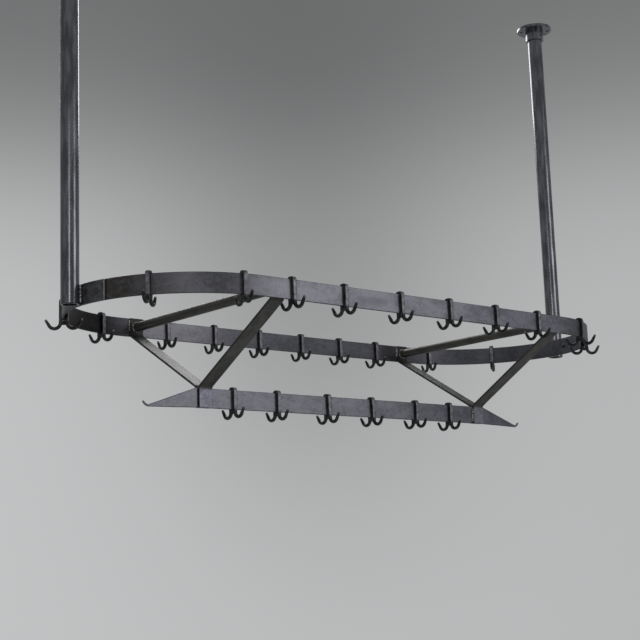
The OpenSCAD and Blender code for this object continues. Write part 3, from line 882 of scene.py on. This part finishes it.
COLOURS = {
    "ring_light": ("Lighter mill scale", (0.30, 0.30, 0.335)),
    "ring_dark": ("Darker mill scale", (0.175, 0.178, 0.20)),
    "ring_lilac": ("Lilac blotches of mill scale", (0.27, 0.255, 0.335)),
    # Also used as painted shade: the dark rim at each tube's foot and a painted shadow beside each plate's
    # end
    "edge": ("Rolled edges of the flat bars", (0.030, 0.029, 0.031)),
    "rust": ("Patch on the front left bend", (0.062, 0.052, 0.038)),
    # Bare nicks on the bars' edges, which are also painted glints, and the painted highlight along the
    # plates' ends
    "nick": ("Bare metal in nicks", (0.42, 0.41, 0.42)),
    "brace_light": ("Lighter braces and rods", (0.085, 0.080, 0.072)),
    "brace_dark": ("Darker braces and rods", (0.042, 0.040, 0.037)),
    "tube_light": ("Lighter streaks of the tubes", (0.20, 0.20, 0.225)),
    "tube_dark": ("Darker streaks of the tubes", (0.105, 0.105, 0.12)),
    "plate_light": ("Lighter plates and rivets", (0.13, 0.13, 0.14)),
    "plate_dark": ("Darker plates and rivets", (0.06, 0.06, 0.065)),
    # The hooks' black, darker than the bars, also paints in the shade of their sides and prongs
    "hook_light": ("Crests of the hooks", (0.06, 0.06, 0.064)),
    # The darker hook colour also paints the shade round the rivets' feet
    "hook_dark": ("Wax in the hooks' hollows", (0.016, 0.016, 0.017)),
    # painted light: the straps' front faces are painted these two greys as if lit
    "strap_light": ("Rubbed crests of the straps", (0.30, 0.30, 0.33)),
    "strap_dark": ("Hollows of the straps", (0.13, 0.13, 0.145)),
    # The light crests also stand as painted glints on the beads
    "weld_light": ("Crests of the weld beads", (0.55, 0.54, 0.53)),
    "weld_dark": ("Hollows of the weld beads", (0.035, 0.032, 0.03)),
    "screw_light": ("Lighter marks of the screws", (0.075, 0.075, 0.08)),
    "screw_dark": ("Darker marks of the screws", (0.03, 0.03, 0.032)),
    "floor": ("Studio floor", (0.62, 0.63, 0.63)),
}


def settings(kind, table, **options):
    """Properties of one kind, from a table of names, descriptions and defaults."""
    return {key: kind(name=key.replace("_", " ").capitalize(), description=text, default=value, **options)
            for key, (text, value) in table.items()}


class RackSizes(bpy.types.PropertyGroup):
    """Sizes of the forged details."""

    __annotations__ = {**settings(bpy.props.FloatProperty, LENGTHS, unit="LENGTH", precision=4),
                       **settings(bpy.props.FloatProperty, DEGREES)}


class RackColours(bpy.types.PropertyGroup):
    """Colours of the finishes and of the studio."""

    __annotations__ = settings(bpy.props.FloatVectorProperty, COLOURS,
                               subtype="COLOR", size=3, min=0.0, max=1.0)


# -------- operators

class BuildOperator:
    """Shared by the operators: execute() calls build() with the user's sizes."""

    bl_options = {"REGISTER", "UNDO"}

    def execute(self, context):
        self.build(context.scene.rack_sizes)
        return {"FINISHED"}


class RACK_OT_ring(BuildOperator, bpy.types.Operator):
    """Build the two bent flat bars of the ring"""

    bl_idname, bl_label = "rack.ring", "Ring"

    def build(self, look):
        material = finish("ring mill scale", lambda r, c: scale_iron(r, c, 1.0, bent=True))
        rings, edges = half_ring()
        for name, flip, seed in (("front_band", 1, 11), ("back_band", -1, 12)):
            band = worn_skin(rings, (1, flip, 1), look.dent, 90 * MM, seed)
            piece("forged_" + name, band, material, "ring", name, edges=edges)


class RACK_OT_plates(BuildOperator, bpy.types.Operator):
    """Build the curved plates and the rivets at the ring's ends"""

    bl_idname, bl_label = "rack.plates", "End plates and rivets"

    def build(self, look):
        material, dome = finish("hammered iron", hammered_iron), finish("rivet iron", rivet_iron)
        rings, edges = end_plate()
        for (side, flip), seed in zip(SIDES, (31, 32)):
            plate = worn_skin(rings, (flip, 1, 1), 0.4 * MM, 22 * MM, seed)
            piece(side + "_plate_skin", plate, material, "plate", side + "_splice_plate", edges=edges)
            piece(side + "_rivet_heads", rivet_heads(flip), dome, "rivet", side + "_rivets")


class RACK_OT_tubes(BuildOperator, bpy.types.Operator):
    """Build the hanging tubes and the weld beads at their feet"""

    bl_idname, bl_label = "rack.tubes", "Tubes and their welds"

    def build(self, look):
        material, weld = finish("tube lacquer", tube_lacquer), finish("tube weld metal", weld_metal)
        tube = hanging_tube()
        for (side, flip), seed in zip(SIDES, (41, 45)):
            piece(side + "_tube", on_side(tube, flip), material, "tube", side + "_pole")
            node = side + "_pole_welds"
            piece(side + "_tube_beads", tube_beads(node, seed), weld, "weld", node)


class RACK_OT_flanges(BuildOperator, bpy.types.Operator):
    """Finish the ceiling flanges and their set screws"""

    bl_idname, bl_label = "rack.flanges", "Ceiling flanges"

    def build(self, look):
        iron, steel = finish("flange lacquer", tube_lacquer), finish("screw steel", screw_steel)
        for side in ("left", "right"):
            for node, material in ((side + "_ceiling_flange", iron), (side + "_set_screws", steel)):
                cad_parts[node].data.materials.clear()
                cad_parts[node].data.materials.append(material)


class RACK_OT_frames(BuildOperator, bpy.types.Operator):
    """Build the V frames: cross rods, braces and their weld beads"""

    bl_idname, bl_label = "rack.frames", "V frames"

    def build(self, look):
        iron, weld = finish("brace iron", brown_iron), finish("frame weld metal", weld_metal)
        round_iron = finish("rod iron", lambda r, c: brown_iron(r, c, flat=False))
        rod, (rings, edges) = cross_rod(), front_brace()
        for (side, flip), seed, low_radius in zip(SIDES, (61, 91), (3.6 * MM, 2.0 * MM)):
            piece(side + "_rod_bar", on_side(rod, flip), round_iron, "rod", side + "_cross_rod")
            for place, depth in (("front", 1), ("back", -1)):
                brace = worn_skin(rings, (flip, depth, 1), look.dent, 60 * MM, 51 + flip + 5 * depth)
                node = f"{side}_{place}_brace"
                piece(node + "_bar", brace, iron, "brace", node, edges=edges)
            beads = on_side(frame_beads(seed, low_radius), flip)
            piece(side + "_brace_beads", beads, weld, "weld", side + "_brace_welds")


class RACK_OT_lower_bar(BuildOperator, bpy.types.Operator):
    """Build the lower bar with its tapers and upturned tips"""

    bl_idname, bl_label = "rack.lower_bar", "Lower bar"

    def build(self, look):
        material = finish("lower bar mill scale", lambda r, c: scale_iron(r, c, 0.92))
        rings, edges = lower_bar()
        bar = worn_skin(rings, (1, 1, 1), look.dent, 80 * MM, 71)
        piece("forged_lower_bar", bar, material, "lower_bar", "lower_bar", edges=edges)


class RACK_OT_hooks(BuildOperator, bpy.types.Operator):
    """Build the loose double hooks"""

    bl_idname, bl_label = "rack.hooks", "Double hooks"

    def build(self, look):
        material = finish("hook iron", hook_iron)
        solid = double_hook()
        inset = look.hook_width / 2 - np.abs(solid[0][:, 0])
        sides = 1 - np.clip(inset / look.rim, 0, 1)
        for k, node in enumerate(HOOKS):
            hook = placed_hook(solid, node, 100 + 10 * k)
            piece("forged_" + node, hook, material, "hook", node, body=node, edges=sides)


SOFTBOXES = (  # name, place, target, width and height, watts
    ("front softbox", (1.65, -3.9, -0.35), (0.0, 0.0, -1.2), (1.7, 1.8), 26.0),
    ("top back softbox", (1.2, 2.0, 1.0), (0.0, 0.0, -1.2), (2.6, 1.5), 44.0),
    ("camera side softbox", (-3.6, -3.8, -0.5), (-0.7, 0.0, -1.1), (0.7, 1.8), 19.0),
)
EYE = (-2.4744, -2.7635, -1.7212)
YAW, PITCH, ROLL = (math.radians(a) for a in (40.593, 10.246, -2.015))
AHEAD = np.array([math.sin(YAW) * math.cos(PITCH), math.cos(YAW) * math.cos(PITCH), math.sin(PITCH)])
LEVEL = np.array([math.cos(YAW), -math.sin(YAW), 0.0])


def stand(thing, place, right, up, back):
    """Sets an object's place and the directions of its three axes."""
    turn = Matrix(np.stack([right, up, back], 1).tolist()).to_quaternion()
    thing.matrix_world = Matrix.LocRotScale(place, turn, None)


class RACK_OT_stage(BuildOperator, bpy.types.Operator):
    """Build the camera, the lamps, the floor and the grey backdrop"""

    bl_idname, bl_label = "rack.stage", "Studio"

    def build(self, look):
        scene = bpy.context.scene
        self.camera(scene)
        self.floor(scene)
        self.backdrop(scene)
        for softbox in SOFTBOXES:
            self.lamp(*softbox)

    def camera(self, scene):
        """A long lens, turned by yaw, pitch and roll."""
        down = np.cross(AHEAD, LEVEL)
        right = math.cos(ROLL) * LEVEL - math.sin(ROLL) * down
        below = math.sin(ROLL) * LEVEL + math.cos(ROLL) * down
        data = bpy.data.cameras.new("camera")
        data.sensor_width, data.lens = 36.0, 76.594
        data.shift_x, data.shift_y = 0.00136, -0.00226
        data.clip_start, data.clip_end = 0.1, 100.0
        scene.camera = added("camera", data)
        stand(scene.camera, EYE, right, -below, -AHEAD)

    def lamp(self, name, place, target, size, power):
        """A rectangular softbox, turned towards a target."""
        data = bpy.data.lights.new(name, "AREA")
        data.shape, data.size, data.size_y, data.energy = "RECTANGLE", *size, power
        ahead = unit(np.array(target) - np.array(place))
        side = unit(np.cross(ahead, Z_AXIS))
        stand(added(name, data), place, side, np.cross(side, ahead), -ahead)

    def floor(self, scene):
        """A round pale floor far below the rack."""
        count, radius, height = 96, 6.5, -2.5
        spokes = circle(full_circle(count)) * radius
        mesh = new_mesh("studio_floor", at(*spokes.T, height), np.arange(count)[None])
        material = bpy.data.materials.new("studio floor")
        material.use_nodes = True
        shader = material.node_tree.nodes["Principled BSDF"]
        shader.inputs["Base Color"].default_value = (*scene.rack_colours.floor, 1.0)
        shader.inputs["Roughness"].default_value = 0.9
        mesh.materials.append(material)
        added("studio_floor", mesh)

    def backdrop(self, scene):
        """The world: a grey with painted shade, darker with height and in a soft patch, as seen or
        mirrored, and a plain even light.

        The shown value starts pale and falls as 1 / (1 + exp(-(up - horizon) / softness)), a little
        differently at each side, less a soft patch exp(-(across^2 + up^2)) measured from its middle.
        """
        horizon, softness = 0.3004, 0.0354
        patch_across, patch_width, patch_up, patch_height = -0.0054, 0.1178, 0.2104, 0.1656
        gamma, aside_light, plain_light = 2.2, 0.30, 0.32
        scene.world = world = scene.world or bpy.data.worlds.new("studio")
        world.use_nodes = True
        r = Recipe(world.node_tree)
        way = r.node("TexCoord", output="Generated")
        across, along = (r.node("VectorMath", {"operation": "DOT_PRODUCT"},
                                {0: way, 1: tuple(line)}, "Value") for line in (LEVEL, AHEAD))
        up = r.node("SeparateXYZ", {}, {0: way}, "Z")
        # painted shade: the backdrop falls darker with height and in a soft patch
        fall = ((up - horizon) * (-1.0 / softness)).math("EXPONENT") + 1.0
        patch = ((across - patch_across) / patch_width) ** 2.0 + ((up - patch_up) / patch_height) ** 2.0
        shade = 0.7358 - across * 0.0883 - (fall ** -1.0) * (0.2952 - across * 0.12)
        shade = shade - (patch * -1.0).math("EXPONENT") * 0.1239
        aside = r.step(abs(along.math("ARCCOSINE")), 0.42, 0.9)
        shade = r.mix("FLOAT", aside, shade ** gamma, aside_light)
        seen = r.node("LightPath", output="Is Camera Ray")
        for kind in ("Is Glossy Ray", "Is Transmission Ray"):
            seen = seen.math("MAXIMUM", r.node("LightPath", output=kind))
        strength = r.mix("FLOAT", seen, plain_light, shade)
        cool = (0.978, 1.0, 1.006, 1.0)
        light = r.node("Background", {}, {"Color": cool, "Strength": strength})
        r.node("OutputWorld", {}, {"Surface": light})
        scene.view_settings.view_transform = "Standard"


class RACK_PT_tools(bpy.types.Panel):
    """Lists the builders of the rack in the sidebar"""

    bl_label, bl_space_type, bl_region_type, bl_category = "Pot rack", "VIEW_3D", "UI", "Pot rack"

    def draw(self, context):
        for operator in OPERATORS:
            self.layout.operator(operator.bl_idname)
        for group in (context.scene.rack_sizes, context.scene.rack_colours):
            for key in group.__annotations__:
                self.layout.prop(group, key)


OPERATORS = (RACK_OT_ring, RACK_OT_plates, RACK_OT_tubes, RACK_OT_flanges, RACK_OT_frames,
             RACK_OT_lower_bar, RACK_OT_hooks, RACK_OT_stage)
CLASSES = (RackSizes, RackColours, *OPERATORS, RACK_PT_tools)


def register():
    for entry in CLASSES:
        bpy.utils.register_class(entry)
    bpy.types.Scene.rack_sizes = bpy.props.PointerProperty(type=RackSizes)
    bpy.types.Scene.rack_colours = bpy.props.PointerProperty(type=RackColours)


def unregister():
    del bpy.types.Scene.rack_sizes, bpy.types.Scene.rack_colours
    for entry in reversed(CLASSES):
        bpy.utils.unregister_class(entry)


def main():
    """Builds everything through the operators."""
    register()
    for operator in OPERATORS:
        getattr(bpy.ops.rack, operator.bl_idname.split(".")[1])()


if __name__ == "__main__":
    main()
